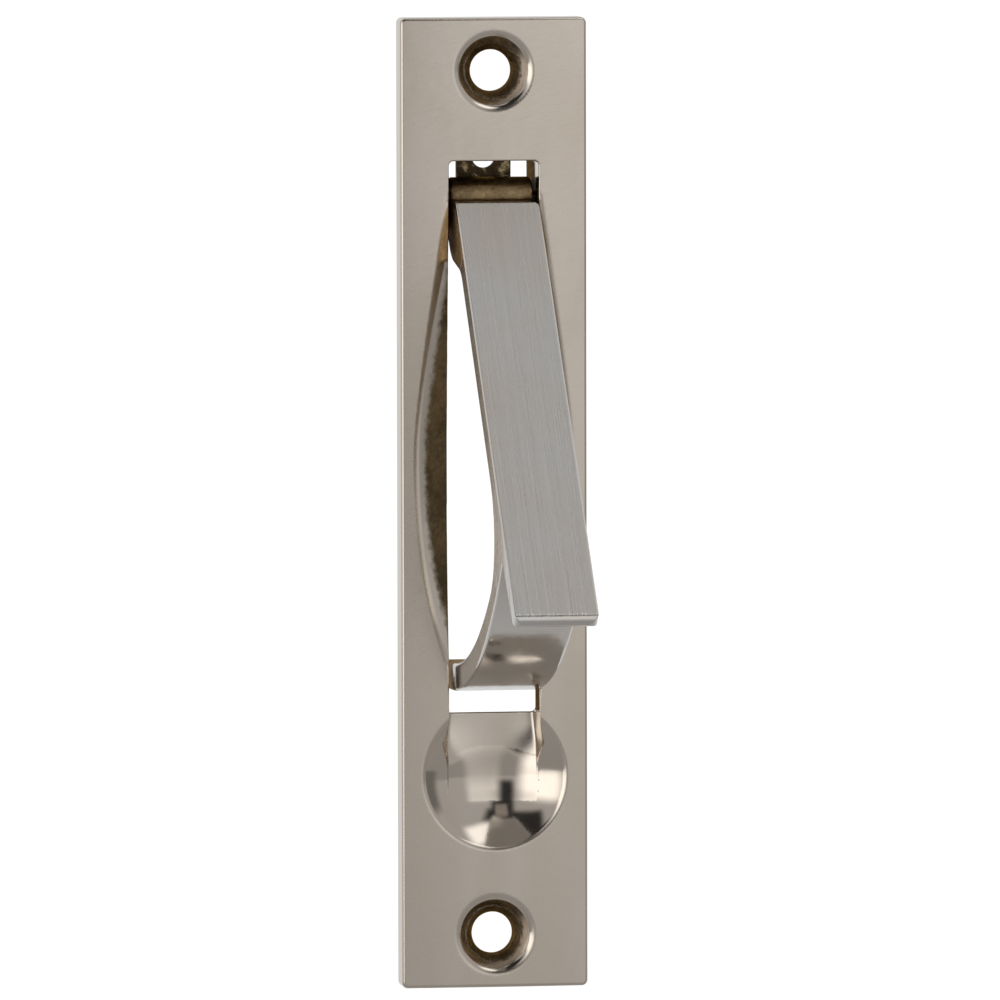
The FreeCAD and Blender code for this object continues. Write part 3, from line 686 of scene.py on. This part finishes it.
# Each card's direction, distance, size, strengths at its foot and top, and the share of it that fades out.
CARDS = {
    "left_softbox": ((-46, 4), 0.8, (0.98, 0.6), (1.7, 1.7), 0.6),
    "top_softbox": ((38, 56), 0.8, (0.6, 0.42), (1.45, 1.45), 0.6),
    "overhead": ((20, 88), 0.9, (0.8, 0.5), (0.52, 0.52), 0.5),
    "camera_side": ((-3, 21), 1.1, (0.62, 0.9), (0.03, 0.03), 0.5),
    "dark_ceiling": ((-18, 57), 1.0, (1.4, 1.0), (0.03, 0.03), 0.3),
    "front_room": ((18, -4), 0.4, (0.34, 0.42), (0.36, 1.0), 0.5),
    "right_side": ((90, 0), 0.8, (0.6, 0.8), (0.2, 0.2), 0.5),
}
SEEN_WHITE = 1.05
FLOOR_HALF, FLOOR_DROP = 6.0, -0.16
CAMERA_VIEW, CAMERA_DISTANCE = (-8.8, 4.0), 1.5
PIXELS_PER_MM, SENSOR, PICTURE = 9.88, 36.0, 1000
AIM_SHIFT, CAMERA_ROLL = Vector((0.54, 0.36, 0)), math.radians(-0.115)


def towards(azimuth, elevation):
    """The direction of a view, in degrees: 0, 0 is straight in front and azimuth grows to the right."""
    azimuth, elevation = math.radians(azimuth), math.radians(elevation)
    level = math.cos(elevation)
    return Vector((math.sin(azimuth) * level, -math.cos(azimuth) * level, math.sin(elevation)))


def emission(name):
    """A material with one glowing shader in it, and nothing joined up yet."""
    material = bpy.data.materials.new(name)
    material.use_nodes = True
    material.node_tree.nodes.clear()
    nodes = Nodes(material.node_tree)
    return material, nodes, nodes.add("ShaderNodeEmission")


def split(nodes, output):
    """The x, y and z of a texture coordinate."""
    where = nodes.add("ShaderNodeTexCoord").outputs[output]
    return nodes.add("ShaderNodeSeparateXYZ", Vector=where).outputs


def white_when_seen(nodes, strength):
    """This strength for lighting the metal, and white for the camera itself."""
    seen = nodes.add("ShaderNodeLightPath").outputs["Is Camera Ray"]
    return nodes.blend(seen, strength, SEEN_WHITE)


def rectangle(name, half_width, half_height, level=0.0):
    corners = [(-1, -1), (1, -1), (1, 1), (-1, 1)]
    points = [(half_width * u, half_height * v, level) for u, v in corners]
    return mesh_object(name, points, [(0, 1, 2, 3)])


def card(name, direction, distance, size, strengths, soft):
    """A panel that only the metal sees. direction is azimuth and elevation, strengths are foot and top."""
    width, height = size
    panel = rectangle(name, width / 2, height / 2)
    out = towards(*direction)
    panel.location = out * distance
    panel.rotation_mode = "QUATERNION"
    panel.rotation_quaternion = out.to_track_quat("-Z", "Y")
    panel.visible_camera = False
    panel.visible_shadow = False
    panel.visible_diffuse = False

    material, nodes, light = emission(name)
    x, y, _ = split(nodes, "Object")
    nodes.put(light, "Strength", nodes.remap(y, -height / 2, height / 2, *strengths))
    across = nodes.remap(nodes.math("ABSOLUTE", x), width / 2 * (1 - soft), width / 2, to_low=1, to_high=0)
    along = nodes.remap(nodes.math("ABSOLUTE", y), height / 2 * (1 - soft), height / 2, to_low=1, to_high=0)
    mix = nodes.add("ShaderNodeMixShader", Fac=nodes.math("MULTIPLY", across, along))
    nodes.put(mix, "1", nodes.add("ShaderNodeBsdfTransparent"))
    nodes.put(mix, "2", light)
    nodes.finish(mix)
    panel.data.materials.append(material)


def make_studio():
    """White surroundings, a pale floor well below the object, and soft panels for the metal to reflect."""
    world = bpy.data.worlds.new("studio")
    bpy.context.scene.world = world
    world.use_nodes = True
    nodes = Nodes(world.node_tree)
    background = world.node_tree.nodes["Background"]
    background.inputs["Color"].default_value = (1, 1, 1, 1)
    _, y, z = split(nodes, "Generated")
    behind = nodes.remap(y, -0.3, 0.4, to_low=0.5, to_high=0.75)
    rise = nodes.remap(z, -0.2, 0.9, to_low=1.0, to_high=0.95)
    nodes.put(background, "Strength", white_when_seen(nodes, nodes.math("MULTIPLY", behind, rise)))

    floor = rectangle("floor", FLOOR_HALF, FLOOR_HALF, FLOOR_DROP)
    material, nodes, light = emission("pale_floor")
    _, y, _ = split(nodes, "Object")
    nodes.put(light, "Strength", white_when_seen(nodes, nodes.remap(y, -0.1, 0.3, to_low=0.36, to_high=0.75)))
    nodes.finish(light)
    floor.data.materials.append(material)

    for name, settings in CARDS.items():
        card(name, *settings)


def make_camera():
    """In front of the plate, a little to its left and above."""
    data = bpy.data.cameras.new("camera")
    data.sensor_width = SENSOR
    data.lens = PIXELS_PER_MM * CAMERA_DISTANCE / MM * SENSOR / PICTURE
    data.clip_start, data.clip_end = 0.05, 50
    camera = bpy.data.objects.new("camera", data)
    bpy.context.scene.collection.objects.link(camera)
    back = towards(*CAMERA_VIEW)
    look = (-back).to_track_quat("-Z", "Y")
    aim = Vector((0, FRONT, 0)) * MM + look @ AIM_SHIFT * MM
    camera.location = aim + back * CAMERA_DISTANCE
    camera.rotation_mode = "QUATERNION"
    camera.rotation_quaternion = look @ Quaternion((0, 0, 1), CAMERA_ROLL)
    bpy.context.scene.camera = camera


bpy.context.scene.view_settings.view_transform = "Standard"
make_plate()
make_lever()
dress_cad()
make_studio()
make_camera()
